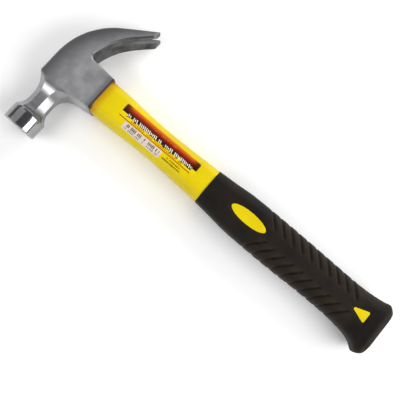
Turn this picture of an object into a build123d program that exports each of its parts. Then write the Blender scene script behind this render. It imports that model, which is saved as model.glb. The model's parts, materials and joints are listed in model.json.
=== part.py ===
from build123d import *
import os
from math import acos, degrees, radians, sin

# Curved-claw hammer with a jacketed fibreglass handle, lying on its side.
# Millimetres. +X runs from the crown of the head to the butt of the handle, +Y towards
# the claws, -Y towards the striking face and +Z up, across the hammer's thickness.
# The origin is at the middle of the bounding box, on the surface the hammer lies on.
#
# Inside the model a place is given by s, the distance from the crown along the handle,
# and by y and z, measured from the axis of the handle.

os.makedirs("parts", exist_ok=True)

# ---- overall -------------------------------------------------------------------------
OVERALL_LENGTH = 330.0  # crown to butt
FACE_REACH = 62.1  # handle axis to the striking face
CLAW_REACH = 68.0  # handle axis to the claw tips

# ---- head: poll, neck and bell --------------------------------------------------------
POLL_S = 14.4  # axis of the neck and bell, from the crown
BELL_RADIUS = 14.4
BELL_LENGTH = 11.6  # straight part of the bell
BELL_SHOULDER = 8.0  # rounding where the neck's facets run out on the bell
SHOULDER_TURN = 30.0
FACE_CHAMFER = 0.9
NECK_HALF = 9.0  # half the distance across the octagon's flats
NECK_START = 33.0  # slender part of the neck, from the handle axis
NECK_END = 38.0
BELL_FLARE = 14.0  # radii of the sweeps from the neck into what it joins
FLARE_TURN = 80.0
CHEEK_FLARE = 19.0
CROWN_SWEEP = 34.0  # where the sweep into the crown leaves the neck
CROWN_FLARE = 31.0
CORNER_FLARE = 19.0
COLLAR_FLARE = 13.0
COLLAR_SWEEP = 30.2  # where the sweep into the collar leaves the neck
COLLAR_CORNER_FLARE = 16.0

# ---- head: cheeks and collar ----------------------------------------------------------
CHEEK_HALF = 13.0  # half thickness at the cheeks
BACK_START = 2.5  # where the straight crown ends and the claws' curve starts
EDGE_CHAMFER = 1.3  # round the outline of cheeks, collar and claws
COLLAR_END = 48.6  # collar mouth, from the crown
COLLAR_HALF = 12.4  # half thickness at the mouth
COLLAR_TAPER_START = 24.0
COLLAR_TOP_ROOT = 16.4  # claw side of the collar, at the claw's root and at the mouth
COLLAR_TOP = 14.8
COLLAR_BOTTOM = 15.2  # face side of the collar at the mouth

# ---- head: claws ----------------------------------------------------------------------
CLAW_BACK_RADIUS = 59.0
CLAW_TIP_HEADING = 35.0  # degrees from the handle's direction
CLAW_TIP_THICKNESS = 6.4
CLAW_TIP_CUT = -94.0  # heading of the tips' end faces
CLAW_INNER_HEADING = 46.0
CLAW_INNER_STRAIGHT = 16.0
CLAW_INNER_RADIUS = 59.7
CLAW_INNER_TURN = 32.0
CLAW_ROOT_FILLET = 4.0
SLOT_HEADING = 43.0  # degrees from the handle's direction
SLOT_LENGTH = 36.0
SLOT_MOUTH = 10.4
SLOT_ROOT = 2.2
# trough along the slot, in the hollow side: half width and depth
TROUGH_TIP = (12.0, 3.6)
TROUGH_MIDDLE = (8.0, 2.6)
TROUGH_ROOT = (3.2, 1.2)
TROUGH_END = (0.8, 0.3)
TROUGH_LEAD = 6.0  # the cut starts this far outside the tips

# ---- eye, core and resin ---------------------------------------------------------------
EYE_CROWN = (25.0, 15.0)  # height along Y and width along Z, at the crown
EYE_WAIST = (22.0, 13.5)
EYE_WAIST_S = 22.0
EYE_CORNER = 5.0
SPIGOT_SIZE = (25.4, 18.6)  # jacket's spigot in the collar mouth
SPIGOT_LENGTH = 8.0
CORE_SIZE = (19.0, 10.5)
CORE_CORNER = 4.0
CORE_START = 4.0  # top of the core, below the crown
RESIN_RECESS = 1.2  # resin fill stops this far below the crown
RECESS_CORNER = 1.0  # sharper than the eye's own corners, so the cut clears them
HANDLE_DROP = 0.55  # handle's centre line, towards the face

# ---- jacket ---------------------------------------------------------------------------
JACKET_HALF = 11.3  # half thickness of the exposed jacket
JACKET_CORNER = 7.0
JACKET_MOUTH_HALF = 14.8  # half height at the collar and at the grip
GRIP_START = 158.0
# half height of the exposed jacket between the collar and the grip, by s
JACKET_WAISTS = ((60.0, 14.9), (74.0, 14.2), (90.0, 13.4), (108.0, 13.1), (128.0, 13.6))
GRIP_LIP = 0.45  # the grip stands this much proud of the jacket where it starts
GRIP_WALL = 2.6  # rubber over the jacket's stem
BUTT_COVER = 9.0  # rubber over the stem's end
STEM_COVER = 4.0  # jacket over the core's end

# ---- grip: s, half height, half thickness, drop of the centre --------------------------
GRIP_STATIONS = (
    (174.0, 16.4, 12.6, 0.6),
    (191.0, 17.9, 13.2, 0.6),
    (215.0, 18.2, 13.4, 0.5),
    (240.0, 18.0, 13.2, 0.3),
    (265.0, 17.4, 12.8, 0.0),
    (290.0, 17.2, 12.7, 0.1),
    (304.0, 17.8, 13.0, 0.4),
    (314.0, 19.0, 13.8, 0.6),
    (321.0, 20.9, 14.7, 1.4),
    (326.0, 23.1, 15.2, 2.5),
    (330.0, 20.8, 13.4, 2.8),
)
GRIP_CORNER = 0.74  # corner radius of the grip's section, as a share of its thickness

# ---- windows in the grip, each filled by a pad of the jacket ----------------------------
OVAL_S = 198.3
OVAL_HALF_LENGTH = 16.7
OVAL_HALF_HEIGHT = 5.1
TRIANGLE_TIP = 300.9
TRIANGLE_BASE = 315.3
TRIANGLE_HALF_HEIGHT = 5.3
TRIANGLE_CORNER = 1.1
PAD_SINK = 0.25  # pads lie this far below the rubber
PAD_CLEARANCE = 0.1

# ---- chevron grooves --------------------------------------------------------------------
GROOVE_COUNT = 10
GROOVE_FIRST = 220.0  # where the first groove meets the plain band
GROOVE_PITCH = 9.0
GROOVE_WIDTH = 2.0
GROOVE_DEPTH = 1.0
GROOVE_ANGLE = 48.0
GROOVE_REACH = 30.0  # length of the cut, past the grip's edge
BAND_HALF = 5.6  # plain band down the middle

# ---- labels -----------------------------------------------------------------------------
FILM = 0.15
LABEL_START = 69.1
LABEL_END = 144.1
LABEL_TOP = 7.7
LABEL_BOTTOM = -4.0
LABEL_CORNER = 1.6
STICKER_START = 76.8
STICKER_END = 114.3
STICKER_TOP = -4.4
STICKER_BOTTOM = -10.6
STICKER_CORNER = 0.8

# ---- the frame ----------------------------------------------------------------------------
CROWN_X = -OVERALL_LENGTH / 2
AXIS_Y = (FACE_REACH - CLAW_REACH) / 2
AXIS_Z = max(half for s, high, half, drop in GRIP_STATIONS)
COLLAR_INNER = COLLAR_END - SPIGOT_LENGTH
STEM_END = OVERALL_LENGTH - BUTT_COVER
FAR = 2 * OVERALL_LENGTH  # reach of cutting shapes, past everything

side = Plane(origin=(CROWN_X, AXIS_Y, AXIS_Z))


def station(s):
    """Section plane across the handle at s: its x is +Y and its y is +Z."""
    return Plane(origin=(CROWN_X + s, AXIS_Y, AXIS_Z), x_dir=(0, 1, 0), z_dir=(1, 0, 0))


def section(s, high, wide, corner, drop=0.0):
    """Rounded rectangle across the handle: high along Y, wide along Z."""
    with BuildSketch(station(s)) as shape:
        with Locations((-drop, 0)):
            RectangleRounded(high, wide, corner)
    return shape.sketch


def eye_sections():
    """The eye, from the crown through its waist to the jacket's spigot."""
    return [
        section(0, *EYE_CROWN, EYE_CORNER),
        section(EYE_WAIST_S, *EYE_WAIST, EYE_CORNER),
        section(COLLAR_INNER, *SPIGOT_SIZE, EYE_CORNER, HANDLE_DROP),
    ]


def grip_sections(shrink=0.0, end=OVERALL_LENGTH):
    """The grip's sections up to end, a given depth under its skin."""
    lip = (GRIP_START, JACKET_MOUTH_HALF + GRIP_LIP, JACKET_HALF + GRIP_LIP, HANDLE_DROP)
    shapes = []
    for s, high, wide, drop in (lip, *GRIP_STATIONS):
        if s <= end:
            half = wide - shrink
            shapes.append(section(s, 2 * (high - shrink), 2 * half, GRIP_CORNER * half, drop))
    return shapes


def jacket_body(grow=0.0):
    """The exposed jacket, or the same shape with a skin of the given thickness."""
    ends = ((COLLAR_END, JACKET_MOUTH_HALF), (GRIP_START, JACKET_MOUTH_HALF))
    rows = (ends[0], *JACKET_WAISTS, ends[1])
    with BuildPart() as body:
        with BuildSketch(side):
            with BuildLine():
                top = Spline(*((s, half + grow - HANDLE_DROP) for s, half in rows))
                bottom = Spline(*((s, -half - grow - HANDLE_DROP) for s, half in rows))
                Line(top @ 0, bottom @ 0)
                Line(top @ 1, bottom @ 1)
            make_face()
        extrude(amount=JACKET_HALF + grow, both=True)
        long_edges = [e for e in body.edges() if e.length > (GRIP_START - COLLAR_END) / 2]
        fillet(long_edges, JACKET_CORNER + grow)
    return body.part


def film_outline(start, end, top, bottom, corner):
    """Rounded rectangle seen from the side, for a label."""
    with BuildSketch(side) as shape:
        with Locations(((start + end) / 2, (top + bottom) / 2)):
            RectangleRounded(end - start, top - bottom, corner)
    return shape.sketch


def windows(clearance):
    """Outlines of the grip's oval and triangular windows, or of the pads in them."""
    with BuildSketch(side) as shape:
        with Locations((OVAL_S, -HANDLE_DROP)):
            Ellipse(OVAL_HALF_LENGTH - clearance, OVAL_HALF_HEIGHT - clearance)
        with BuildLine():
            half = TRIANGLE_HALF_HEIGHT - clearance
            Polyline(
                (TRIANGLE_TIP + 2 * clearance, -HANDLE_DROP),
                (TRIANGLE_BASE - clearance, half - HANDLE_DROP),
                (TRIANGLE_BASE - clearance, -half - HANDLE_DROP),
                close=True,
            )
        make_face()
        corners = [v for v in shape.vertices() if v.X > (OVAL_S + TRIANGLE_TIP) / 2]
        fillet(corners, TRIANGLE_CORNER)
    return shape.sketch


def groove_cutter():
    """The chevron grooves: slanting slabs with the grip's core taken out of them."""
    with BuildPart() as cutter:
        with BuildSketch(side):
            for number in range(GROOVE_COUNT):
                foot = GROOVE_FIRST + number * GROOVE_PITCH
                for way in (1, -1):
                    foot_y = way * BAND_HALF - HANDLE_DROP
                    with Locations(Location((foot, foot_y, 0), (0, 0, -way * GROOVE_ANGLE))):
                        Rectangle(GROOVE_REACH, GROOVE_WIDTH, align=(Align.MAX, Align.CENTER))
                        Circle(GROOVE_WIDTH / 2)
        extrude(amount=AXIS_Z, both=True)
        loft(grip_sections(GROOVE_DEPTH), mode=Mode.SUBTRACT)
    return cutter.part


# ---- head -----------------------------------------------------------------------------
neck_left = POLL_S - NECK_HALF
neck_right = POLL_S + NECK_HALF
with BuildPart() as head:
    # side outline: crown, claws, collar, then down the poll and back
    with BuildSketch(side) as outline:
        with BuildLine():
            sweep_turn = degrees(acos(1 - neck_left / CROWN_FLARE))
            crown_sweep = JernArc((neck_left, -CROWN_SWEEP), (0, 1), CROWN_FLARE, sweep_turn)
            crown = Line(crown_sweep @ 1, (0, BACK_START))
            back_turn = crown.tangent_angle_at(1) - CLAW_TIP_HEADING
            back = JernArc(crown @ 1, crown % 1, CLAW_BACK_RADIUS, -back_turn)
            straight = (CLAW_REACH - (back @ 1).Y) / sin(radians(CLAW_TIP_HEADING))
            tip_back = PolarLine(back @ 1, straight, CLAW_TIP_HEADING)
            tip = PolarLine(tip_back @ 1, CLAW_TIP_THICKNESS, CLAW_TIP_CUT)
            hollow_tip = PolarLine(tip @ 1, CLAW_INNER_STRAIGHT, CLAW_INNER_HEADING + 180)
            hollow = JernArc(
                hollow_tip @ 1, hollow_tip % 1, CLAW_INNER_RADIUS, CLAW_INNER_TURN
            )
            fall = (hollow @ 1).Y - COLLAR_TOP_ROOT
            lean = (hollow % 1).X / (hollow % 1).Y
            root = Line(hollow @ 1, ((hollow @ 1).X - fall * lean, COLLAR_TOP_ROOT))
            collar_top = Line(root @ 1, (COLLAR_END, COLLAR_TOP))
            mouth = Line(collar_top @ 1, (COLLAR_END, -COLLAR_BOTTOM))
            collar_sweep = JernArc((neck_right, -COLLAR_SWEEP), (0, 1), COLLAR_FLARE, -90)
            underside = Line(mouth @ 1, collar_sweep @ 1)
            right_neck = Line(collar_sweep @ 0, (neck_right, -NECK_END))
            right_bell = JernArc(right_neck @ 1, (0, -1), BELL_FLARE, FLARE_TURN)
            right_side = Line(right_bell @ 1, ((right_bell @ 1).X, -FACE_REACH))
            left_neck = Line(crown_sweep @ 0, (neck_left, -NECK_END))
            left_bell = JernArc(left_neck @ 1, (0, -1), BELL_FLARE, -FLARE_TURN)
            left_side = Line(left_bell @ 1, ((left_bell @ 1).X, -FACE_REACH))
            face_line = Line(right_side @ 1, left_side @ 1)
        make_face()
        fillet(outline.vertices().sort_by_distance(root @ 1)[0], CLAW_ROOT_FILLET)
    extrude(amount=CHEEK_HALF, both=True)
    chamfer(head.edges().filter_by(Axis.Z, reverse=True), EDGE_CHAMFER)

    # the bell is thicker than the cheeks
    with BuildSketch(side):
        add(outline.sketch_local)
        with Locations((POLL_S, -(FACE_REACH + NECK_START) / 2)):
            Rectangle(4 * BELL_RADIUS, FACE_REACH - NECK_START, mode=Mode.INTERSECT)
    extrude(amount=2 * BELL_RADIUS, both=True)

    # sweep of the cheeks into the neck and of the neck into the bell
    with BuildSketch(station(0)):
        with BuildLine():
            cheek_turn = degrees(acos(1 - (CHEEK_HALF - NECK_HALF) / CHEEK_FLARE))
            cheek_sweep = JernArc((-NECK_START, NECK_HALF), (1, 0), CHEEK_FLARE, cheek_turn)
            slender = Line(cheek_sweep @ 0, (-NECK_END, NECK_HALF))
            bell_sweep = JernArc(slender @ 1, (-1, 0), BELL_FLARE, -FLARE_TURN)
            Polyline(bell_sweep @ 1, (-FACE_REACH, (bell_sweep @ 1).Y), (-FACE_REACH, 0))
            Polyline(cheek_sweep @ 1, (FAR, CHEEK_HALF), (FAR, 0))
            mirror(about=Plane.XZ)
        make_face()
    extrude(amount=FAR, both=True, mode=Mode.INTERSECT)

    # the four diagonal facets, which make the neck an octagon
    for slope in (1, -1):
        diagonal = Plane(
            origin=side.from_local_coords((POLL_S, 0, 0)),
            x_dir=(1, 0, slope),
            z_dir=(-slope, 0, 1),
        )
        with BuildSketch(diagonal):
            with BuildLine():
                near = JernArc((NECK_HALF, -NECK_START), (0, 1), COLLAR_CORNER_FLARE, -90)
                far = JernArc((-NECK_HALF, -NECK_START), (0, 1), CORNER_FLARE, 90)
                near_neck = Line(near @ 0, (NECK_HALF, -NECK_END))
                near_bell = JernArc(near_neck @ 1, (0, -1), BELL_FLARE, FLARE_TURN)
                far_neck = Line(far @ 0, (-NECK_HALF, -NECK_END))
                far_bell = JernArc(far_neck @ 1, (0, -1), BELL_FLARE, -FLARE_TURN)
                Polyline(near @ 1, (FAR, (near @ 1).Y), (FAR, FAR), (0, FAR))
                Polyline(far @ 1, (-FAR, (far @ 1).Y), (-FAR, FAR), (0, FAR))
                Polyline(near_bell @ 1, ((near_bell @ 1).X, -FACE_REACH), (0, -FACE_REACH))
                Polyline(far_bell @ 1, ((far_bell @ 1).X, -FACE_REACH), (0, -FACE_REACH))
            make_face()
        extrude(amount=FAR, both=True, mode=Mode.INTERSECT)

    # round bell: everything outside its turned envelope comes away
    with BuildSketch(side):
        with BuildLine():
            bell_top = BELL_LENGTH - FACE_REACH
            wall = Line((POLL_S + BELL_RADIUS, -FACE_REACH), (POLL_S + BELL_RADIUS, bell_top))
            shoulder = JernArc(wall @ 1, (0, 1), BELL_SHOULDER, SHOULDER_TURN)
            Polyline(
                shoulder @ 1,
                (POLL_S + 3 * BELL_RADIUS, (shoulder @ 1).Y),
                (POLL_S + 3 * BELL_RADIUS, -FACE_REACH),
                wall @ 0,
            )
        make_face()
    poll_axis = Axis(side.from_local_coords((POLL_S, 0, 0)), (0, 1, 0))
    revolve(axis=poll_axis, mode=Mode.SUBTRACT)
    chamfer(head.edges().group_by(Axis.Y)[0], FACE_CHAMFER)

    # the collar thins towards its mouth
    collar_plane = Plane(
        origin=side.from_local_coords((0, COLLAR_TOP_ROOT + 1, 0)),
        x_dir=(1, 0, 0),
        z_dir=(0, -1, 0),
    )
    with BuildSketch(collar_plane):
        with BuildLine():
            Polyline(
                (COLLAR_TAPER_START, CHEEK_HALF),
                (COLLAR_END, COLLAR_HALF),
                (COLLAR_END, 2 * CHEEK_HALF),
                (COLLAR_TAPER_START, 2 * CHEEK_HALF),
                close=True,
            )
        make_face()
        mirror(about=Plane.XZ)
    extrude(amount=NECK_START + COLLAR_TOP_ROOT, mode=Mode.SUBTRACT)

    # V slot between the claws, cut square to their hollow side
    slot_plane = Plane(
        origin=side.from_local_coords((tip @ 0.5)),
        x_dir=Vector(-1, 0, 0).rotate(Axis.Z, SLOT_HEADING),
        z_dir=Vector(0, -1, 0).rotate(Axis.Z, SLOT_HEADING),
    )
    with BuildSketch(slot_plane):
        with BuildLine():
            Polyline(
                (-CLAW_TIP_THICKNESS, SLOT_MOUTH / 2),
                (SLOT_LENGTH, SLOT_ROOT / 2),
                (SLOT_LENGTH, -SLOT_ROOT / 2),
                (-CLAW_TIP_THICKNESS, -SLOT_MOUTH / 2),
                close=True,
            )
        make_face()
        with Locations((SLOT_LENGTH, 0)):
            Circle(SLOT_ROOT / 2)
    extrude(amount=2 * CHEEK_HALF, both=True, mode=Mode.SUBTRACT)

    # trough: the hollow side falls away to the slot, so each claw is a wedge
    lead = TROUGH_LEAD / CLAW_INNER_STRAIGHT
    for place, heading, (half, depth) in (
        ((hollow_tip @ 0) * (1 + lead) - (hollow_tip @ 1) * lead, hollow_tip % 0, TROUGH_TIP),
        (hollow @ 0, hollow % 0, TROUGH_MIDDLE),
        (hollow @ 0.6, hollow % 0.6, TROUGH_ROOT),
        (hollow @ 0.75, hollow % 0.75, TROUGH_END),
    ):
        notch = Plane(origin=side.from_local_coords(place), x_dir=(0, 0, 1), z_dir=heading)
        with BuildSketch(notch):
            with BuildLine():
                above = (half * (depth + CLAW_ROOT_FILLET) / depth, -CLAW_ROOT_FILLET)
                Polyline((0, depth), above, (-above[0], above[1]), close=True)
            make_face()
    loft(ruled=True, mode=Mode.SUBTRACT)

    # eye and collar mouth
    loft(eye_sections(), ruled=True, mode=Mode.SUBTRACT)
    extrude(
        section(COLLAR_INNER, *SPIGOT_SIZE, EYE_CORNER, HANDLE_DROP),
        amount=SPIGOT_LENGTH,
        mode=Mode.SUBTRACT,
    )
head.part.label = "head"
export_step(head.part, "parts/head.step")

# ---- fibreglass core -------------------------------------------------------------------
with BuildPart() as fiberglass_core:
    extrude(
        section(CORE_START, *CORE_SIZE, CORE_CORNER, HANDLE_DROP),
        amount=STEM_END - STEM_COVER - CORE_START,
    )
fiberglass_core.part.label = "fiberglass_core"
export_step(fiberglass_core.part, "parts/fiberglass_core.step")

# ---- resin that bonds the core in the eye -------------------------------------------------
with BuildPart() as eye_resin:
    loft(eye_sections(), ruled=True)
    extrude(section(0, *EYE_CROWN, RECESS_CORNER), amount=RESIN_RECESS, mode=Mode.SUBTRACT)
    add(fiberglass_core.part, mode=Mode.SUBTRACT)
eye_resin.part.label = "eye_resin"
export_step(eye_resin.part, "parts/eye_resin.step")

# ---- jacket -------------------------------------------------------------------------------
exposed_jacket = jacket_body()
with BuildPart() as pads:
    loft(grip_sections(PAD_SINK))
    extrude(windows(PAD_CLEARANCE), amount=AXIS_Z, both=True, mode=Mode.INTERSECT)

with BuildPart() as handle_jacket:
    add(exposed_jacket)
    extrude(
        section(COLLAR_INNER, *SPIGOT_SIZE, EYE_CORNER, HANDLE_DROP), amount=SPIGOT_LENGTH
    )
    loft(grip_sections(GRIP_WALL, STEM_END))
    add(pads.part)
    add(fiberglass_core.part, mode=Mode.SUBTRACT)
handle_jacket.part.label = "handle_jacket"
export_step(handle_jacket.part, "parts/handle_jacket.step")

# ---- grip ----------------------------------------------------------------------------------
with BuildPart() as grip:
    loft(grip_sections())
    loft(grip_sections(GRIP_WALL, STEM_END), mode=Mode.SUBTRACT)
    extrude(windows(0), amount=AXIS_Z, both=True, mode=Mode.SUBTRACT)
    add(groove_cutter(), mode=Mode.SUBTRACT)
grip.part.label = "grip"
export_step(grip.part, "parts/grip.step")

# ---- printed label and barcode sticker ------------------------------------------------------
skin = jacket_body(FILM)
with BuildPart() as label:
    extrude(
        film_outline(LABEL_START, LABEL_END, LABEL_TOP, LABEL_BOTTOM, LABEL_CORNER),
        amount=AXIS_Z,
    )
    add(skin, mode=Mode.INTERSECT)
    add(exposed_jacket, mode=Mode.SUBTRACT)
label.part.label = "label"
export_step(label.part, "parts/label.step")

with BuildPart() as barcode_sticker:
    extrude(
        film_outline(STICKER_START, STICKER_END, STICKER_TOP, STICKER_BOTTOM, STICKER_CORNER),
        amount=AXIS_Z,
    )
    add(skin, mode=Mode.INTERSECT)
    add(exposed_jacket, mode=Mode.SUBTRACT)
barcode_sticker.part.label = "barcode_sticker"
export_step(barcode_sticker.part, "parts/barcode_sticker.step")
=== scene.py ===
# %% [markdown]
# # A claw hammer with a jacketed fibreglass handle
# The hammer's parts come from a CAD model, already at their real size and place. This
# lesson gives them their looks: forged and polished steel, moulded yellow plastic, ribbed
# black rubber and two printed labels. Everything is in metres. The hammer lies on its
# side: +X runs from the head's crown to the butt, +Y towards the claws and +Z up.

# %% Load the frame
import json
from math import pi, radians

import bpy
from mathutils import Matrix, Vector

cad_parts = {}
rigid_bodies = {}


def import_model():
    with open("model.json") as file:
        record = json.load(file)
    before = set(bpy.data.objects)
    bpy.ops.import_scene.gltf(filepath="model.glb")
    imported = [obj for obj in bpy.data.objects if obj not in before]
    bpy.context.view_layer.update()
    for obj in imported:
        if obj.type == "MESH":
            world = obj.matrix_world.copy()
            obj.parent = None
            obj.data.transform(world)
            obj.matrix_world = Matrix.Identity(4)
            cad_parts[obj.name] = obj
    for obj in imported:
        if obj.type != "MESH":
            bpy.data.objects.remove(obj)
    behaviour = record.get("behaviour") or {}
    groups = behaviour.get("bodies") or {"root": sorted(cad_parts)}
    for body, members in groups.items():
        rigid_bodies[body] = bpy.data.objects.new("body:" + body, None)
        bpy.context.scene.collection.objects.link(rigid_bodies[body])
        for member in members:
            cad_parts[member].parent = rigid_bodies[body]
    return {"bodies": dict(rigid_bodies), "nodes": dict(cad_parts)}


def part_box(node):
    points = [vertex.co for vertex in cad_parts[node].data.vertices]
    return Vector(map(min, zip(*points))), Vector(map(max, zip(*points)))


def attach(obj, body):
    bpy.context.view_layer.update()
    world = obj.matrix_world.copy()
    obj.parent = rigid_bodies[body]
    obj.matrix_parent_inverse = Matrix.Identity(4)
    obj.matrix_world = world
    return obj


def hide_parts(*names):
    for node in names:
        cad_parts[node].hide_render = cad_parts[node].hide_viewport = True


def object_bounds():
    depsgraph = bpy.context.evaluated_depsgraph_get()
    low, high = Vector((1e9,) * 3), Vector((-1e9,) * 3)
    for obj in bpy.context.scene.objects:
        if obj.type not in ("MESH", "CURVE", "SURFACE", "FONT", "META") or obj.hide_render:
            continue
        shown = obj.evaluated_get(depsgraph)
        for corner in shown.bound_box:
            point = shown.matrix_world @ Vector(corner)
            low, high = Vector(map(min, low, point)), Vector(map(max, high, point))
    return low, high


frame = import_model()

CAD_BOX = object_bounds()
BODY = list(frame["bodies"])[0]
LOW, HIGH = (Vector(corner) for corner in CAD_BOX)
MM = 0.001
print("body", BODY, "box", [tuple(round(v, 4) for v in corner) for corner in (LOW, HIGH)])

# %% [markdown]
# ## Where things are
# A maker measures a hammer along its handle. Here s is the distance from the crown, and y
# and z are measured from the handle's axis, all in millimetres. The axis is found from the
# frame itself: the glass-fibre core runs along it, a little to the face side.

# %% The handle's axis
core_low, core_high = (Vector(corner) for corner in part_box("fiberglass_core"))
CORE_DROP = 0.55
CROWN_X = LOW.x
AXIS_Y = (core_low.y + core_high.y) / 2 + CORE_DROP * MM
AXIS_Z = (core_low.z + core_high.z) / 2
print("crown at x", round(CROWN_X, 5), "axis at y, z", round(AXIS_Y, 5), round(AXIS_Z, 5))


def place(s, y, z):
    """Scene position of a point given in millimetres from the crown and the axis."""
    return Vector((CROWN_X + s * MM, AXIS_Y + y * MM, AXIS_Z + z * MM))


# %% [markdown]
# ## Camera
# The hammer is seen from almost straight above and close by, with the handle running down
# to the right. A camera can be aimed with a constraint, but a fixed place and three turning
# angles are simpler, and they stay put.

# %% Camera
camera_data = bpy.data.cameras.new("camera")
camera_data.sensor_width = 36.0
camera_data.lens = 54.27
camera = bpy.data.objects.new("camera", camera_data)
bpy.context.scene.collection.objects.link(camera)
camera.location = (0.01526, -0.08302, 0.48525)
camera.rotation_euler = tuple(radians(angle) for angle in (7.815, -3.466, 40.278))
bpy.context.scene.camera = camera
print("camera at", tuple(camera.location))

# %% [markdown]
# ## Studio
# A catalogue picture is taken on a plain white table under large soft lights. Polished steel
# shows its surroundings, so the lights' places matter more than their strength: each soft
# box becomes a white band on the neck and the bell, and the dim room between them becomes
# the dark bands. The floor is one square of mesh, far larger than the hammer.

# %% Helper for node trees
bpy.context.scene.view_settings.view_transform = "Standard"


class Tree:
    """Short words for adding nodes to a node tree and wiring them."""

    def __init__(self, tree):
        self.tree = tree

    def add(self, kind, inputs=None, **settings):
        """New node; inputs go by name or index, and an output socket becomes a wire."""
        node = self.tree.nodes.new(kind)
        for name, value in settings.items():
            setattr(node, name, value)
        for key, value in (inputs or {}).items():
            self.set(node.inputs[key], value)
        return node

    def set(self, socket, value):
        """Gives a socket a value, or a wire from another socket."""
        if isinstance(value, bpy.types.NodeSocket):
            self.tree.links.new(value, socket)
        else:
            socket.default_value = value

    def math(self, operation, *values, clamp=False):
        """Math node on numbers or sockets, and its result."""
        node = self.add("ShaderNodeMath", operation=operation, use_clamp=clamp)
        for socket, value in zip(node.inputs, values):
            self.set(socket, value)
        return node.outputs[0]

    def mix(self, share, first, second):
        """Colour between first and second."""
        node = self.add("ShaderNodeMix", data_type="RGBA")
        for index, value in ((0, share), (6, first), (7, second)):
            self.set(node.inputs[index], value)
        return node.outputs[2]

    def between(self, value, low, high, soft):
        """1 where value lies between low and high, fading over soft at both ends."""
        rise = self.step(value, low - soft / 2, low + soft / 2)
        fall = self.step(value, high - soft / 2, high + soft / 2)
        return self.math("SUBTRACT", rise, fall)

    def step(self, value, low, high, out_low=0.0, out_high=1.0):
        """Smooth change from out_low to out_high as value goes from low to high."""
        node = self.add("ShaderNodeMapRange", interpolation_type="SMOOTHSTEP")
        for index, number in enumerate((value, low, high, out_low, out_high)):
            self.set(node.inputs[index], number)
        return node.outputs[0]


# %% Floor
def new_material(name):
    """Empty material, and the words to fill it."""
    material = bpy.data.materials.new(name)
    material.use_nodes = True
    material.node_tree.nodes.clear()
    return material, Tree(material.node_tree)


def finish_material(tree, shader):
    """Wires a shader to the material's surface."""
    tree.add("ShaderNodeOutputMaterial", {"Surface": shader.outputs[0]})


FLOOR_HALF = 3.0
FLOOR_WHITE = (1.0, 1.0, 1.0, 1.0)
floor_mesh = bpy.data.meshes.new("floor")
corners = [(x, y, 0.0) for x, y in ((-1, -1), (1, -1), (1, 1), (-1, 1))]
floor_mesh.from_pydata(
    [(x * FLOOR_HALF, y * FLOOR_HALF, z) for x, y, z in corners], [], [(0, 1, 2, 3)]
)
floor = bpy.data.objects.new("floor", floor_mesh)
bpy.context.scene.collection.objects.link(floor)
floor_material, nodes = new_material("table_white")
finish_material(
    nodes, nodes.add("ShaderNodeBsdfPrincipled", {"Base Color": FLOOR_WHITE, "Roughness": 0.9})
)
floor_mesh.materials.append(floor_material)
print("floor", 2 * FLOOR_HALF, "m wide")

# %% Room and soft boxes
ROOM_DIM, ROOM_PALE = (0.15, 0.15, 0.155, 1.0), (0.8, 0.8, 0.8, 1.0)
world = bpy.data.worlds.new("studio")
world.use_nodes = True
world.node_tree.nodes.clear()
nodes = Tree(world.node_tree)
looking = nodes.add(
    "ShaderNodeSeparateXYZ", {0: nodes.add("ShaderNodeTexCoord").outputs["Generated"]}
)
room = nodes.mix(nodes.step(looking.outputs[2], 0.06, 0.22), ROOM_PALE, ROOM_DIM)
background = nodes.add("ShaderNodeBackground", {"Color": room, "Strength": 1.0})
nodes.add("ShaderNodeOutputWorld", {"Surface": background.outputs[0]})
bpy.context.scene.world = world
TARGET = place(60, -10, 0)


def soft_box(name, direction, distance, width, height, brightness):
    """Rectangular area light of the given brightness, seen from the head in a direction."""
    light = bpy.data.lights.new(name, "AREA")
    light.shape, light.size, light.size_y = "RECTANGLE", width, height
    light.energy = brightness * pi * width * height
    lamp = bpy.data.objects.new(name, light)
    bpy.context.scene.collection.objects.link(lamp)
    lamp.location = TARGET + Vector(direction).normalized() * distance
    lamp.rotation_euler = (-Vector(direction)).to_track_quat("-Z", "Y").to_euler()
    return lamp


# bright wall on the handle's side: the white bands on the bell and the neck's near facet
soft_box("handle_side_box", (0.84, 0.10, 0.54), 1.5, 1.2, 0.85, 6.0)
# front box: the white sweep where the neck's front facet meets the cheek
soft_box("face_side_box", (-0.30, -0.66, 0.68), 1.4, 0.9, 0.45, 7.0)
# dim box over the crown's side: the middle grey of the cheeks and of the bell's far half
soft_box("crown_side_box", (-0.62, 0.10, 0.78), 1.5, 1.0, 1.3, 0.55)
# claw side: light for the table and a soft sheen along the jacket
soft_box("claw_side_box", (0.15, 0.85, 0.45), 1.5, 1.2, 0.7, 5.5)

# %% [markdown]
# ## Shader groups
# Two effects are used by more than one finish, so each is a node group, built once.
# "fine_grain" gives the small unevenness of a moulded or blasted skin: a height for a Bump
# node and a shade that varies a little. "print_marks" gives rows of small upright bars, as
# generic print or a bar code has.

# %% Group: fine grain
def new_group(name, inputs, outputs):
    """Empty shader group with the named float inputs and outputs, and its two end nodes."""
    group = bpy.data.node_groups.new(name, "ShaderNodeTree")
    for label, kind, value in inputs:
        socket = group.interface.new_socket(label, in_out="INPUT", socket_type=kind)
        if value is not None:
            socket.default_value = value
    for label, kind in outputs:
        group.interface.new_socket(label, in_out="OUTPUT", socket_type=kind)
    words = Tree(group)
    return group, words, words.add("NodeGroupInput"), words.add("NodeGroupOutput")


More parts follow.
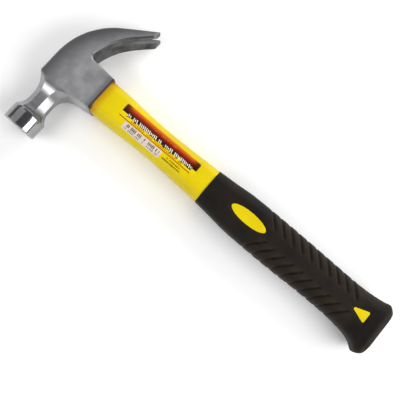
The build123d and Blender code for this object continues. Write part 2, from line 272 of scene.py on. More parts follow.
FLOAT, VECTOR = "NodeSocketFloat", "NodeSocketVector"
grain_group, nodes, source, sink = new_group(
    "fine_grain",
    [
        ("Place", VECTOR, None),
        ("Grain per metre", FLOAT, 900.0),
        ("Clouds per metre", FLOAT, 40.0),
    ],
    [("Height", FLOAT), ("Shade", FLOAT)],
)
fine = nodes.add(
    "ShaderNodeTexNoise",
    {"Vector": source.outputs[0], "Scale": source.outputs[1], "Detail": 3.0, "Roughness": 0.6},
)
clouds = nodes.add(
    "ShaderNodeTexNoise",
    {"Vector": source.outputs[0], "Scale": source.outputs[2], "Detail": 4.0, "Roughness": 0.55},
)
nodes.set(sink.inputs["Height"], fine.outputs["Fac"])
both = nodes.math(
    "ADD",
    nodes.math("MULTIPLY", fine.outputs["Fac"], 0.3),
    nodes.math("MULTIPLY", clouds.outputs["Fac"], 0.7),
)
nodes.set(sink.inputs["Shade"], both)
print("group", grain_group.name)

# %% Group: print marks
marks_group, nodes, source, sink = new_group(
    "print_marks",
    [
        ("Along", FLOAT, 0.0),
        ("Across", FLOAT, 0.0),
        ("Bars per mm", FLOAT, 0.7),
        ("Low", FLOAT, 0.0),
        ("High", FLOAT, 1.0),
        ("Filled", FLOAT, 0.55),
        ("Ragged", FLOAT, 0.0),
        ("Bar share", FLOAT, 0.7),
        ("Seed", FLOAT, 0.0),
    ],
    [("Mask", FLOAT)],
)
along, across, density, low, high = (source.outputs[i] for i in range(5))
filled, ragged, bar_share, seed = (source.outputs[i] for i in range(5, 9))
cell = nodes.math("FLOOR", nodes.math("MULTIPLY", along, density))
chance = nodes.add(
    "ShaderNodeTexWhiteNoise", {"W": nodes.math("ADD", cell, seed)}, noise_dimensions="1D"
)
other = nodes.add(
    "ShaderNodeTexWhiteNoise",
    {"W": nodes.math("ADD", cell, nodes.math("ADD", seed, 77.7))},
    noise_dimensions="1D",
)
there = nodes.math("LESS_THAN", chance.outputs["Value"], filled)
inside = nodes.math(
    "LESS_THAN", nodes.math("FRACT", nodes.math("MULTIPLY", along, density)), bar_share
)
there = nodes.math("MULTIPLY", there, inside)
trim = nodes.math(
    "MULTIPLY",
    nodes.math("MULTIPLY", other.outputs["Value"], ragged),
    nodes.math("SUBTRACT", high, low),
)
above = nodes.math("GREATER_THAN", across, nodes.math("ADD", low, trim))
below = nodes.math("LESS_THAN", across, nodes.math("SUBTRACT", high, trim))
nodes.set(
    sink.inputs["Mask"], nodes.math("MULTIPLY", there, nodes.math("MULTIPLY", above, below))
)
print("group", marks_group.name)


# %% Helpers: places on the hammer
def hammer_place(tree):
    """Object coordinates as s, y and z in millimetres from the crown and the axis."""
    where = tree.add("ShaderNodeTexCoord").outputs["Object"]
    moved = tree.add("ShaderNodeVectorMath", {0: where, 1: -place(0, 0, 0)}, operation="ADD")
    scaled = tree.add(
        "ShaderNodeVectorMath", {0: moved.outputs[0], "Scale": 1 / MM}, operation="SCALE"
    )
    parts = tree.add("ShaderNodeSeparateXYZ", {0: scaled.outputs[0]})
    return where, parts.outputs[0], parts.outputs[1], parts.outputs[2]


def grain(tree, where, per_metre, clouds_per_metre):
    """The fine_grain group with its own values: height and shade."""
    node = tree.add("ShaderNodeGroup", node_tree=grain_group)
    tree.set(node.inputs["Place"], where)
    node.inputs["Grain per metre"].default_value = per_metre
    node.inputs["Clouds per metre"].default_value = clouds_per_metre
    return node.outputs["Height"], node.outputs["Shade"]


def marks(tree, along, across, *values):
    """The print_marks group with its own values: a mask of bars."""
    node = tree.add("ShaderNodeGroup", node_tree=marks_group)
    for socket, value in zip(node.inputs, (along, across, *values)):
        tree.set(socket, value)
    return node.outputs["Mask"]


def give(node_name, material):
    """Puts the material on a CAD node, in place of its plain one."""
    obj = frame["nodes"][node_name]
    for slot in obj.material_slots:
        slot.material = material
    print(node_name, "gets", material.name)


# %% [markdown]
# ## Steel head
# The head is forged in one piece. Its cheeks keep a satin skin from belt grinding, the claws'
# hollow side stays dark from the forge, and the neck and bell are polished bright. One
# material does all three: masks made from places on the hammer say which finish is where.
# Two more masks paint shade on the cheeks: darker towards the crown and towards the
# collar's mouth.

# %% Steel: masks
steel, nodes = new_material("forged_steel_skin")
where, s, y, z = hammer_place(nodes)
height, shade = grain(nodes, where, 2200.0, 90.0)
facing = nodes.add("ShaderNodeNewGeometry").outputs["Normal"]
normal_z = nodes.math("ABSOLUTE", nodes.add("ShaderNodeSeparateXYZ", {0: facing}).outputs[2])
polished = nodes.step(y, -19.5, -16.5, 1.0, 0.0)
bell = nodes.step(y, -47.0, -43.0, 1.0, 0.0)
# the crown curves away from s = 0 roughly with the square of y
CROWN_CURVE = 0.0092
claw_side = nodes.math("MAXIMUM", y, 0.0)
curve = nodes.math("MULTIPLY", claw_side, nodes.math("MULTIPLY", claw_side, CROWN_CURVE))
back = nodes.math("SUBTRACT", s, curve)
# painted shade: the cheeks darken towards the curved crown
painted_crown_shade = nodes.step(back, 0.0, 22.0, 1.0, 0.0)
on_claws = nodes.step(y, 15.0, 19.0)
sooty = nodes.math("MULTIPLY", nodes.step(normal_z, 0.55, 0.68, 1.0, 0.0), on_claws)
hollow_edge = nodes.math("MULTIPLY", nodes.step(normal_z, 0.80, 0.92, 1.0, 0.0), on_claws)
# the collar reaches y = 16; past 20 lie the claws
on_collar = nodes.math("LESS_THAN", y, 20.0)
mouth = nodes.math("MULTIPLY", nodes.step(s, 46.9, 47.6), on_collar)
print("steel nodes", len(steel.node_tree.nodes))

# %% Steel: colour, roughness and bump
satin = nodes.mix(nodes.step(shade, 0.35, 0.65), (0.42, 0.42, 0.43, 1), (0.60, 0.60, 0.61, 1))
satin = nodes.mix(painted_crown_shade, satin, (0.17, 0.17, 0.175, 1))
# painted shade: the collar turns darker and bluer towards its mouth
painted_mouth_shade = nodes.math("MULTIPLY", nodes.step(s, 41.0, 47.0), on_collar)
satin = nodes.mix(painted_mouth_shade, satin, (0.30, 0.31, 0.34, 1))
satin = nodes.mix(hollow_edge, satin, (0.11, 0.11, 0.112, 1))
soot = nodes.mix(nodes.step(shade, 0.4, 0.6), (0.035, 0.035, 0.036, 1), (0.13, 0.13, 0.132, 1))
bright = nodes.mix(nodes.step(shade, 0.3, 0.7), (0.25, 0.25, 0.255, 1), (0.40, 0.40, 0.41, 1))
colour = nodes.mix(sooty, nodes.mix(polished, satin, bright), soot)
colour = nodes.mix(mouth, colour, (0.055, 0.04, 0.028, 1))
satin_rough = nodes.math("ADD", nodes.math("MULTIPLY", shade, 0.14), 0.34)
neck_rough = nodes.math("SUBTRACT", 0.36, nodes.math("MULTIPLY", bell, 0.22))
rough = nodes.add(
    "ShaderNodeMix", {0: polished, 2: satin_rough, 3: neck_rough}, data_type="FLOAT"
)
bump = nodes.add(
    "ShaderNodeBump",
    {
        "Height": height,
        "Strength": nodes.math("MULTIPLY", nodes.math("SUBTRACT", 1.0, polished), 0.4),
        "Distance": 0.0002,
    },
)
finish_material(
    nodes,
    nodes.add(
        "ShaderNodeBsdfPrincipled",
        {
            "Base Color": colour,
            "Roughness": rough.outputs[0],
            "Metallic": 1.0,
            "Normal": bump.outputs[0],
        },
    ),
)
give("head", steel)

# %% [markdown]
# ## Yellow jacket
# The jacket is moulded over the glass-fibre rod in bright yellow plastic. It is a little
# cloudy, turns orange where it meets the steel, partly a resin tint and partly painted
# shadow of the collar's step, and carries two lines of small dark print beside the
# sticker, kept here as plain marks.

# %% Yellow plastic material
YELLOW_DEEP, YELLOW = (0.62, 0.47, 0.0, 1), (0.74, 0.58, 0.0, 1)
PRINT_BROWN = (0.06, 0.035, 0.0, 1)
yellow, nodes = new_material("yellow_plastic_skin")
where, s, y, z = hammer_place(nodes)
height, shade = grain(nodes, where, 1500.0, 30.0)
plastic = nodes.mix(nodes.step(shade, 0.3, 0.7), YELLOW_DEEP, YELLOW)
# orange towards the steel: partly a resin tint, partly painted shadow of the collar's step
resin_tint_and_painted_shadow = nodes.step(s, 49.0, 56.0, 0.8, 0.0)
colour = nodes.mix(resin_tint_and_painted_shadow, plastic, (0.46, 0.20, 0.0, 1))
first_row = nodes.math(
    "MULTIPLY",
    marks(nodes, s, y, 0.8, -6.6, -5.3, 0.85, 0.2, 0.7, 21.0),
    nodes.between(s, 119.0, 133.0, 0.2),
)
second_row = nodes.math(
    "MULTIPLY",
    marks(nodes, s, y, 0.8, -8.8, -7.3, 0.85, 0.2, 0.7, 33.0),
    nodes.between(s, 116.5, 134.5, 0.2),
)
rows = nodes.math(
    "MULTIPLY", nodes.math("ADD", first_row, second_row), nodes.math("GREATER_THAN", z, 5.0)
)
colour = nodes.mix(rows, colour, PRINT_BROWN)
bump = nodes.add("ShaderNodeBump", {"Height": height, "Strength": 0.1, "Distance": 0.0002})
finish_material(
    nodes,
    nodes.add(
        "ShaderNodeBsdfPrincipled",
        {
            "Base Color": colour,
            "Roughness": 0.45,
            "Specular IOR Level": 0.2,
            "Normal": bump.outputs[0],
        },
    ),
)
give("handle_jacket", yellow)

# %% Core and resin materials
rod, nodes = new_material("glass_fibre_rod")
where, s, y, z = hammer_place(nodes)
height, shade = grain(nodes, where, 900.0, 60.0)
finish_material(
    nodes,
    nodes.add(
        "ShaderNodeBsdfPrincipled",
        {
            "Base Color": nodes.mix(shade, (0.55, 0.48, 0.3, 1), (0.8, 0.74, 0.55, 1)),
            "Roughness": 0.6,
        },
    ),
)
give("fiberglass_core", rod)

resin, nodes = new_material("cast_resin")
where, s, y, z = hammer_place(nodes)
height, shade = grain(nodes, where, 700.0, 120.0)
bump = nodes.add("ShaderNodeBump", {"Height": height, "Strength": 0.3, "Distance": 0.0004})
finish_material(
    nodes,
    nodes.add(
        "ShaderNodeBsdfPrincipled",
        {
            "Base Color": nodes.mix(shade, (0.03, 0.02, 0.012, 1), (0.09, 0.055, 0.03, 1)),
            "Roughness": 0.25,
            "Normal": bump.outputs[0],
        },
    ),
)
give("eye_resin", resin)

# %% [markdown]
# ## Black rubber
# The grip is a soft rubber sleeve with a fine, slightly dusty skin. The rubber is almost
# black with a brown cast, browner on the ribs and round the butt's rim. Painted shade
# darkens the grooves with their depth, which the sleeve's own "groove" attribute marks.

# %% Rubber material
rubber, nodes = new_material("black_rubber_skin")
where, s, y, z = hammer_place(nodes)
height, shade = grain(nodes, where, 1800.0, 35.0)
skin = nodes.mix(
    nodes.step(shade, 0.3, 0.7), (0.0045, 0.0034, 0.0022, 1), (0.014, 0.010, 0.0068, 1)
)
ribbed = nodes.math(
    "MULTIPLY",
    nodes.between(s, 214.0, 306.0, 8.0),
    nodes.step(nodes.math("ABSOLUTE", y), 2.0, 7.0),
)
skin = nodes.mix(nodes.math("MULTIPLY", ribbed, 0.6), skin, (0.0205, 0.0125, 0.0068, 1))
# painted shade: the grooves darken with their depth
painted_groove_shade = nodes.add("ShaderNodeAttribute", attribute_name="groove").outputs["Fac"]
skin = nodes.mix(nodes.math("MULTIPLY", painted_groove_shade, 0.85), skin, (0.002, 0.0015, 0.001, 1))
rubbed = nodes.math("MULTIPLY", nodes.step(s, 323.0, 329.0), nodes.step(shade, 0.35, 0.6))
colour = nodes.mix(rubbed, skin, (0.045, 0.026, 0.013, 1))
bump = nodes.add("ShaderNodeBump", {"Height": height, "Strength": 0.35, "Distance": 0.0003})
finish_material(
    nodes,
    nodes.add(
        "ShaderNodeBsdfPrincipled",
        {
            "Base Color": colour,
            "Roughness": 0.6,
            "Specular IOR Level": 0.15,
            "Normal": bump.outputs[0],
        },
    ),
)

# %% [markdown]
# ## Grip
# The sleeve is moulded: its section is a rounded rectangle whose size changes along the
# handle, with slanting grooves pressed into both sides for the fingers and two windows
# through which the yellow jacket shows. Ribs could be modelled one by one, but they all
# follow one rule, so a Geometry Nodes tree makes the whole sleeve. Its input is a short
# line of points: each holds the place along the handle, the half height and the half
# thickness there, and an attribute gives how far the section drops towards the face.

# %% Grip profile
GRIP_PROFILE = (
    (158.0, 15.25, 11.75, 0.55),
    (174.0, 16.4, 12.6, 0.6),
    (191.0, 17.9, 13.2, 0.6),
    (215.0, 18.2, 13.4, 0.5),
    (240.0, 18.0, 13.2, 0.3),
    (265.0, 17.4, 12.8, 0.0),
    (290.0, 17.2, 12.7, 0.1),
    (304.0, 17.8, 13.0, 0.4),
    (314.0, 19.0, 13.8, 0.6),
    (321.0, 20.9, 14.7, 1.4),
    (326.0, 23.1, 15.2, 2.5),
    (330.0, 20.8, 13.4, 2.8),
)


def profile_object(name, rows):
    """Line of points for the sleeve tree, with the drop as an attribute, in metres."""
    mesh = bpy.data.meshes.new(name)
    points = [(s * MM, high * MM, wide * MM) for s, high, wide, drop in rows]
    mesh.from_pydata(points, [(i, i + 1) for i in range(len(points) - 1)], [])
    drops = mesh.attributes.new("drop", "FLOAT", "POINT")
    drops.data.foreach_set("value", [row[3] * MM for row in rows])
    line = bpy.data.objects.new(name, mesh)
    bpy.context.scene.collection.objects.link(line)
    return line


grip_line = profile_object("rubber_grip_line", GRIP_PROFILE)
print("profile points", len(grip_line.data.vertices))

# %% [markdown]
# One group makes a closed skin from the line: the line becomes a smooth curve, every ring
# of a grid reads its section from the curve's point of the same number, and the first and
# the last ring shrink to a point. The same group, set deeper and without grooves, makes the
# space for the handle's stem.

# %% Skin group: its inputs
skin_tree = bpy.data.node_groups.new("rubber_skin", "GeometryNodeTree")
GEOMETRY = "NodeSocketGeometry"
GROOVE_INPUTS = (
    ("First groove", 220.0 * MM),
    ("Grooves", 10.0),
    ("Pitch", 9.0 * MM),
    ("Groove width", 2.1 * MM),
    ("Groove depth", 1.0 * MM),
    ("Slant", radians(48.0)),
    ("Plain band", 5.6 * MM),
    ("Rib swell", 0.2 * MM),
    ("Rim dip", 0.5 * MM),
    ("Oval place", 198.3 * MM),
    ("Oval length", 33.4 * MM),
    ("Oval height", 10.2 * MM),
    ("Triangle tip", 300.9 * MM),
    ("Triangle base", 315.3 * MM),
    ("Triangle height", 10.6 * MM),
)
skin_tree.interface.new_socket("Line", in_out="INPUT", socket_type=GEOMETRY)
for label, value in (("Rings", 320), ("Sides", 96)):
    skin_tree.interface.new_socket(
        label, in_out="INPUT", socket_type="NodeSocketInt"
    ).default_value = value
for label, value in (("Inset", 0.0), ("Overhang", 0.0), *GROOVE_INPUTS):
    skin_tree.interface.new_socket(
        label, in_out="INPUT", socket_type=FLOAT
    ).default_value = value
skin_tree.interface.new_socket("Skin", in_out="OUTPUT", socket_type=GEOMETRY)
g = Tree(skin_tree)
given = g.add("NodeGroupInput").outputs
print("skin inputs", [socket.name for socket in given if socket.name])

# %% Skin group: rings along the handle
curve = g.add("GeometryNodeMeshToCurve", {"Mesh": given["Line"]})
curve = g.add(
    "GeometryNodeCurveSplineType", {"Curve": curve.outputs[0]}, spline_type="CATMULL_ROM"
)
curve = g.add(
    "GeometryNodeSetSplineResolution", {"Geometry": curve.outputs[0], "Resolution": 24}
)
open_rings = g.math("SUBTRACT", given["Rings"], 2.0)
curve = g.add("GeometryNodeResampleCurve", {"Curve": curve.outputs[0], "Count": open_rings})
columns = g.math("ADD", given["Sides"], 1.0)
grid = g.add("GeometryNodeMeshGrid", {"Vertices X": given["Rings"], "Vertices Y": columns})
index = g.add("GeometryNodeInputIndex").outputs[0]
ring = g.math("FLOOR", g.math("DIVIDE", g.math("ADD", index, 0.5), columns))
column = g.math("SUBTRACT", index, g.math("MULTIPLY", ring, columns))
point = g.math(
    "MINIMUM",
    g.math("MAXIMUM", g.math("SUBTRACT", ring, 1.0), 0.0),
    g.math("SUBTRACT", open_rings, 1.0),
)
ends = g.math(
    "ADD",
    g.math("LESS_THAN", ring, 0.5),
    g.math("GREATER_THAN", ring, g.math("ADD", open_rings, 0.5)),
)
open_here = g.math("SUBTRACT", 1.0, ends)
position = g.add("GeometryNodeInputPosition").outputs[0]
read = g.add("GeometryNodeSampleIndex", data_type="FLOAT_VECTOR", domain="POINT")
for name, value in (("Geometry", curve.outputs[0]), ("Value", position), ("Index", point)):
    g.set(read.inputs[name], value)
along, high, wide = g.add("ShaderNodeSeparateXYZ", {0: read.outputs[0]}).outputs
drop_name = g.add("GeometryNodeInputNamedAttribute", {"Name": "drop"}, data_type="FLOAT")
read = g.add("GeometryNodeSampleIndex", data_type="FLOAT", domain="POINT")
for name, value in (
    ("Geometry", curve.outputs[0]), ("Value", drop_name.outputs[0]), ("Index", point)
):
    g.set(read.inputs[name], value)
drop = read.outputs[0]
print("skin nodes", len(skin_tree.nodes))

# %% [markdown]
# Round each ring, a quarter of the section is a flat, a corner arc and another flat, walked
# with fixed shares of the quarter's points, and the other quarters mirror it. The section's
# outward normal comes for free, because it only turns along the arc.

# %% Skin group: the rounded section
quarter = g.math("DIVIDE", g.math("MULTIPLY", column, 4.0), given["Sides"])
number = g.math("MODULO", g.math("FLOOR", g.math("ADD", quarter, 1e-5)), 4.0)
share = g.math("SUBTRACT", quarter, g.math("FLOOR", g.math("ADD", quarter, 1e-5)))
odd = g.math("MODULO", number, 2.0)
share = g.math(
    "ADD", g.math("MULTIPLY", share, g.math("SUBTRACT", 1.0, g.math("MULTIPLY", odd, 2.0))), odd
)
side_y = g.math("SUBTRACT", 1.0, g.math("MULTIPLY", g.math("GREATER_THAN", number, 1.5), 2.0))
middle = g.math("LESS_THAN", g.math("ABSOLUTE", g.math("SUBTRACT", number, 1.5)), 1.0)
side_z = g.math("SUBTRACT", 1.0, g.math("MULTIPLY", middle, 2.0))


def part_of(start, end):
    """How far the walk is through its part from start to end, from 0 to 1."""
    return g.math("DIVIDE", g.math("SUBTRACT", share, start), end - start, clamp=True)


CORNER_SHARE = 0.74  # corner radius as a share of the half thickness
corner = g.math("MULTIPLY", wide, CORNER_SHARE)
turn = g.math("MULTIPLY", part_of(0.33, 0.9), pi / 2)
normal_y, normal_z = g.math("SINE", turn), g.math("COSINE", turn)
flat_y = g.math("MULTIPLY", g.math("SUBTRACT", high, corner), part_of(0.0, 0.33))
flat_z = g.math(
    "MULTIPLY", g.math("SUBTRACT", wide, corner), g.math("SUBTRACT", 1.0, part_of(0.9, 1.0))
)
out_y = g.math("ADD", flat_y, g.math("MULTIPLY", corner, normal_y))
out_z = g.math("ADD", flat_z, g.math("MULTIPLY", corner, normal_z))
print("skin nodes", len(skin_tree.nodes))

# %% [markdown]
# The grooves slant away from a plain band down the middle, like arrowheads that point to the
# butt. Adding the slant to the distance along the handle makes each groove a whole number
# of pitches, so its distance from a point is the same short sum everywhere. Between the
# grooves the rubber swells a little.

# %% Skin group: grooves
tangent = g.math("TANGENT", given["Slant"])
from_band = g.math("SUBTRACT", out_y, given["Plain band"])
slanted = g.math("ADD", along, g.math("DIVIDE", from_band, tangent))
count = g.math("DIVIDE", g.math("SUBTRACT", slanted, given["First groove"]), given["Pitch"])
nearest = g.math("ROUND", count)
nearest = g.math(
    "MAXIMUM", g.math("MINIMUM", nearest, g.math("SUBTRACT", given["Grooves"], 1.0)), 0.0
)
away = g.math("ABSOLUTE", g.math("SUBTRACT", count, nearest))
away = g.math(
    "MULTIPLY", g.math("MULTIPLY", away, given["Pitch"]), g.math("SINE", given["Slant"])
)
half_width = g.math("MULTIPLY", given["Groove width"], 0.5)
groove = g.step(
    away, g.math("MULTIPLY", half_width, 0.35), g.math("MULTIPLY", half_width, 1.15), 1.0, 0.0
)
off_band = g.step(from_band, -0.8 * MM, 0.3 * MM)
on_flank = g.step(normal_y, 0.55, 0.98, 1.0, 0.4)
groove = g.math(
    "MULTIPLY",
    g.math("MULTIPLY", groove, off_band),
    g.math("MULTIPLY", given["Groove depth"], on_flank),
)
among = g.math(
    "MULTIPLY",
    g.math("GREATER_THAN", count, -0.5),
    g.math("LESS_THAN", count, g.math("SUBTRACT", given["Grooves"], 0.5)),
)
swell = g.math("ABSOLUTE", g.math("SINE", g.math("MULTIPLY", count, pi)))
swell = g.math(
    "MULTIPLY",
    g.math("MULTIPLY", swell, given["Rib swell"]),
    g.math("MULTIPLY", among, g.math("MULTIPLY", on_flank, g.step(from_band, 0.0, 5.0 * MM))),
)
print("skin nodes", len(skin_tree.nodes))

# %% Skin group: dips round the two windows
across = g.math("ABSOLUTE", out_y)
oval_x = g.math(
    "DIVIDE",
    g.math("SUBTRACT", along, given["Oval place"]),
    g.math("MULTIPLY", given["Oval length"], 0.5),
)
oval_y = g.math("DIVIDE", across, g.math("MULTIPLY", given["Oval height"], 0.5))
oval = g.math(
    "SQRT",
    g.math("ADD", g.math("MULTIPLY", oval_x, oval_x), g.math("MULTIPLY", oval_y, oval_y)),
)
oval_dip = g.step(oval, 1.0, 1.28, 1.0, 0.0)
edge_slope = g.math(
    "DIVIDE",
    g.math("MULTIPLY", given["Triangle height"], 0.5),
    g.math("SUBTRACT", given["Triangle base"], given["Triangle tip"]),
)
side_gap = g.math(
    "SUBTRACT",
    across,
    g.math("MULTIPLY", g.math("SUBTRACT", along, given["Triangle tip"]), edge_slope),
)
base_gap = g.math("SUBTRACT", along, given["Triangle base"])
triangle_dip = g.step(g.math("MAXIMUM", side_gap, base_gap), 0.0, 1.4 * MM, 1.0, 0.0)
top_face = g.step(normal_z, 0.5, 0.9)
dip = g.math(
    "MULTIPLY",
    g.math("MULTIPLY", g.math("MAXIMUM", oval_dip, triangle_dip), top_face),
    given["Rim dip"],
)
push = g.math("SUBTRACT", g.math("SUBTRACT", swell, groove), g.math("ADD", dip, given["Inset"]))
print("skin nodes", len(skin_tree.nodes))

# %% Skin group: the points take their places
skin_y = g.math("MULTIPLY", g.math("ADD", out_y, g.math("MULTIPLY", normal_y, push)), side_y)
skin_z = g.math("MULTIPLY", g.math("ADD", out_z, g.math("MULTIPLY", normal_z, push)), side_z)
hang = g.math("MULTIPLY", g.math("LESS_THAN", ring, 1.5), given["Overhang"])
spot = g.add("ShaderNodeCombineXYZ")
g.set(spot.inputs[0], g.math("SUBTRACT", along, hang))
g.set(spot.inputs[1], g.math("SUBTRACT", g.math("MULTIPLY", skin_y, open_here), drop))
g.set(spot.inputs[2], g.math("MULTIPLY", skin_z, open_here))
depth_share = g.math("DIVIDE", groove, g.math("MAXIMUM", given["Groove depth"], 0.01 * MM))
marked = g.add(
    "GeometryNodeStoreNamedAttribute",
    {"Geometry": grid.outputs[0], "Name": "groove"},
    data_type="FLOAT",
    domain="POINT",
)
g.set(marked.inputs["Value"], depth_share)
placed = g.add(
    "GeometryNodeSetPosition", {"Geometry": marked.outputs[0], "Position": spot.outputs[0]}
)
merged = g.add("GeometryNodeMergeByDistance", {"Geometry": placed.outputs[0], "Distance": 1e-6})
g.add("NodeGroupOutput", {"Skin": merged.outputs[0]})
print("skin nodes", len(skin_tree.nodes))

# %% [markdown]
# The sleeve is the grooved skin less the stem's space and less two straight cutters, an oval
# and a triangular one, that pierce it from side to side. The cut is of the exact kind: it
# takes longer than the quick one, but it leaves a closed mesh.

# %% Sleeve tree
sleeve = bpy.data.node_groups.new("rubber_sleeve", "GeometryNodeTree")
sleeve.interface.new_socket("Line", in_out="INPUT", socket_type=GEOMETRY)
for label, value in (("Wall", 2.6 * MM), ("Wall end", 321.5 * MM), *GROOVE_INPUTS):
    sleeve.interface.new_socket(label, in_out="INPUT", socket_type=FLOAT).default_value = value
sleeve.interface.new_socket("Place", in_out="INPUT", socket_type=VECTOR)
sleeve.interface.new_socket("Rubber", in_out="INPUT", socket_type="NodeSocketMaterial")
sleeve.interface.new_socket("Sleeve", in_out="OUTPUT", socket_type=GEOMETRY)
g = Tree(sleeve)
given = g.add("NodeGroupInput").outputs
outer = g.add("GeometryNodeGroup", node_tree=skin_tree)
inner = g.add("GeometryNodeGroup", node_tree=skin_tree)
g.set(outer.inputs["Line"], given["Line"])
for label, value in GROOVE_INPUTS:
    g.set(outer.inputs[label], given[label])
along = g.add("ShaderNodeSeparateXYZ", {0: g.add("GeometryNodeInputPosition").outputs[0]}).outputs[
    0
]
covered = g.add(
    "GeometryNodeDeleteGeometry",
    {"Geometry": given["Line"], "Selection": g.math("GREATER_THAN", along, given["Wall end"])},
)
inner_values = {
    "Line": covered.outputs[0],
    "Rings": 90,
    "Sides": 64,
    "Inset": given["Wall"],
    "Overhang": 2 * MM,
}
for label, value in inner_values.items():
    g.set(inner.inputs[label], value)
for label in ("Groove depth", "Rib swell", "Rim dip"):
    inner.inputs[label].default_value = 0.0
print("outer and inner skins placed")


# %% Sleeve tree: window cutters
def window_cutter(corners, middle, half_length, half_height):
    """Upright prism with the given number of corners, pointing to the crown."""
    prism = g.add(
        "GeometryNodeMeshCylinder", {"Vertices": corners, "Radius": 1.0, "Depth": 0.08}
    )
    scale = g.add("ShaderNodeCombineXYZ", {0: half_length, 1: half_height, 2: 1.0})
    where = g.add("ShaderNodeCombineXYZ", {0: middle, 1: -CORE_DROP * MM})
    moved = g.add(
        "GeometryNodeTransform", {"Geometry": prism.outputs[0], "Rotation": (0.0, 0.0, pi)}
    )
    sized = g.add(
        "GeometryNodeTransform",
        {
            "Geometry": moved.outputs[0],
            "Translation": where.outputs[0],
            "Scale": scale.outputs[0],
        },
    )
    return sized.outputs[0]


def half(name):
    """Half of a length input."""
    return g.math("MULTIPLY", given[name], 0.5)


oval_cutter = window_cutter(72, given["Oval place"], half("Oval length"), half("Oval height"))
triangle_length = g.math("SUBTRACT", given["Triangle base"], given["Triangle tip"])
reach = g.math("MULTIPLY", triangle_length, 2 / 3)
triangle_cutter = window_cutter(
    3,
    g.math("ADD", given["Triangle tip"], reach),
    reach,
    g.math("DIVIDE", half("Triangle height"), 0.866),
)
cut = g.add("GeometryNodeMeshBoolean", operation="DIFFERENCE", solver="EXACT")
g.set(cut.inputs["Mesh 1"], outer.outputs[0])
for cutter in (inner.outputs[0], oval_cutter, triangle_cutter):
    g.set(cut.inputs["Mesh 2"], cutter)
print("sleeve nodes", len(sleeve.nodes))

# %% Sleeve tree: finish
welded = g.add(
    "GeometryNodeMergeByDistance", {"Geometry": cut.outputs[0], "Distance": 0.03 * MM}
)
smooth = g.add(
    "GeometryNodeSetShadeSmooth",
    {"Geometry": welded.outputs[0], "Shade Smooth": True},
    domain="FACE",
)
angle = g.add("GeometryNodeInputMeshEdgeAngle").outputs[0]
crisp = g.add(
    "GeometryNodeSetShadeSmooth",
    {
        "Geometry": smooth.outputs[0],
        "Selection": g.math("GREATER_THAN", angle, radians(50.0)),
        "Shade Smooth": False,
    },
    domain="EDGE",
)
moved = g.add(
    "GeometryNodeTransform", {"Geometry": crisp.outputs[0], "Translation": given["Place"]}
)
real = g.add("GeometryNodeRealizeInstances", {"Geometry": moved.outputs[0]})
dressed = g.add(
    "GeometryNodeSetMaterial", {"Geometry": real.outputs[0], "Material": given["Rubber"]}
)
g.add("NodeGroupOutput", {"Sleeve": dressed.outputs[0]})


def run_tree(line, tree, name, values):
    """Runs a Geometry Nodes tree on an object and keeps the result as a plain piece."""
    modifier = line.modifiers.new("nodes", "NODES")
    modifier.node_group = tree
    for socket in tree.interface.items_tree:
        if socket.in_out == "INPUT" and socket.name in values:
            modifier[socket.identifier] = values[socket.name]
    ready = line.evaluated_get(bpy.context.evaluated_depsgraph_get())
    mesh = bpy.data.meshes.new_from_object(
        ready, preserve_all_data_layers=True, depsgraph=bpy.context.evaluated_depsgraph_get()
    )
    mesh.name = name
    mesh.materials.clear()
    mesh.materials.append(values["Rubber"])
    mesh.polygons.foreach_set("material_index", [0] * len(mesh.polygons))
    piece = bpy.data.objects.new(name, mesh)
    bpy.context.scene.collection.objects.link(piece)
    old_mesh = line.data
    bpy.data.objects.remove(line)
    bpy.data.meshes.remove(old_mesh)
    return piece


# %% Make the grip
grip = run_tree(grip_line, sleeve, "rubber_grip", {"Place": place(0, 0, 0), "Rubber": rubber})
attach(grip, BODY)
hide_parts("grip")
print("grip faces", len(grip.data.polygons), "material", grip.data.materials[0].name)

# %% [markdown]
# ## Printed labels
# Both labels are thin films on the jacket. The long one is clear film with a dark panel that
# glows from black to orange and a row of light marks along its lower edge, then dashes and a
# red line. Real labels carry names; here the marks are rows of plain bars that say nothing.
# They could be an image, but a picture is tied to its size, and bars follow a simple rule.

# %% Label: panel
film, nodes = new_material("label_print")
where, s, y, z = hammer_place(nodes)
low_part = nodes.mix(nodes.step(y, 1.6, 4.4), (0.014, 0.002, 0.002, 1), (0.26, 0.010, 0.005, 1))
panel = nodes.mix(nodes.step(y, 4.0, 7.8), low_part, (0.70, 0.15, 0.006, 1))
ends = nodes.math("SUBTRACT", 1.0, nodes.between(s, 73.5, 139.0, 7.0))
panel = nodes.mix(nodes.math("MULTIPLY", ends, 0.85), panel, (0.018, 0.002, 0.002, 1))
ink = nodes.mix(nodes.between(y, 0.7, 7.65, 0.15), YELLOW, panel)
print("label nodes", len(film.node_tree.nodes))

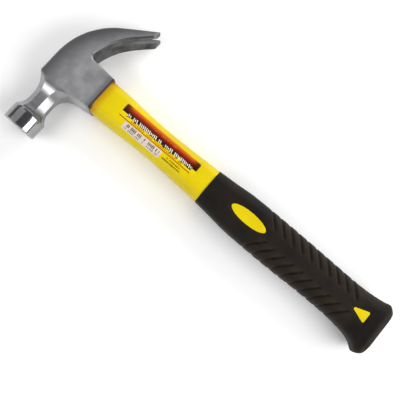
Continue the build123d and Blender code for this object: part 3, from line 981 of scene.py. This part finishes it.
# %% Label: rows of marks
row = nodes.between(s, 74.5, 140.0, 0.5)
shadows = nodes.math(
    "MULTIPLY", marks(nodes, s, y, 0.45, -1.5, 2.6, 0.92, 0.25, 0.95, 5.0), row
)
ink = nodes.mix(shadows, ink, (0.02, 0.006, 0.004, 1))
light = nodes.math(
    "MULTIPLY",
    marks(
        nodes,
        nodes.math("ADD", s, nodes.math("MULTIPLY", y, 0.35)),
        y,
        0.62,
        -0.9,
        2.3,
        0.8,
        0.28,
        0.5,
        9.0,
    ),
    row,
)
ink = nodes.mix(light, ink, (0.80, 0.76, 0.62, 1))
small = nodes.math(
    "MULTIPLY",
    marks(nodes, s, y, 0.9, 4.6, 5.7, 0.6, 0.2, 0.6, 14.0),
    nodes.between(s, 97.0, 121.0, 0.5),
)
ink = nodes.mix(small, ink, (0.60, 0.16, 0.02, 1))
dashes = nodes.math(
    "MULTIPLY",
    marks(nodes, s, y, 0.5, -2.6, -1.7, 0.8, 0.1, 0.8, 11.0),
    nodes.between(s, 78.0, 134.0, 0.5),
)
ink = nodes.mix(dashes, ink, (0.55, 0.12, 0.0, 1))
red_line = nodes.math(
    "MULTIPLY", nodes.between(y, -3.75, -3.05, 0.15), nodes.between(s, 69.0, 141.0, 1.0)
)
ink = nodes.mix(red_line, ink, (0.40, 0.014, 0.003, 1))
finish_material(
    nodes,
    nodes.add(
        "ShaderNodeBsdfPrincipled",
        {"Base Color": ink, "Roughness": 0.3, "Specular IOR Level": 0.3},
    ),
)
give("label", film)

# %% Sticker material
paper, nodes = new_material("sticker_print")
where, s, y, z = hammer_place(nodes)
height, shade = grain(nodes, where, 1500.0, 200.0)
sheet = nodes.mix(shade, (0.56, 0.46, 0.40, 1), (0.74, 0.66, 0.60, 1))
inside = nodes.between(s, 79.0, 112.5, 0.2)
bars = nodes.math(
    "MULTIPLY", marks(nodes, s, y, 0.75, -7.9, -5.0, 0.72, 0.15, 0.6, 3.0), inside
)
digits = nodes.math(
    "MULTIPLY", marks(nodes, s, y, 0.7, -9.9, -8.3, 0.75, 0.25, 0.6, 8.0), inside
)
ink = nodes.mix(bars, sheet, (0.02, 0.014, 0.01, 1))
ink = nodes.mix(nodes.math("MULTIPLY", digits, 0.8), ink, (0.12, 0.09, 0.07, 1))
finish_material(
    nodes,
    nodes.add(
        "ShaderNodeBsdfPrincipled",
        {"Base Color": ink, "Roughness": 0.5, "Specular IOR Level": 0.3},
    ),
)
give("barcode_sticker", paper)
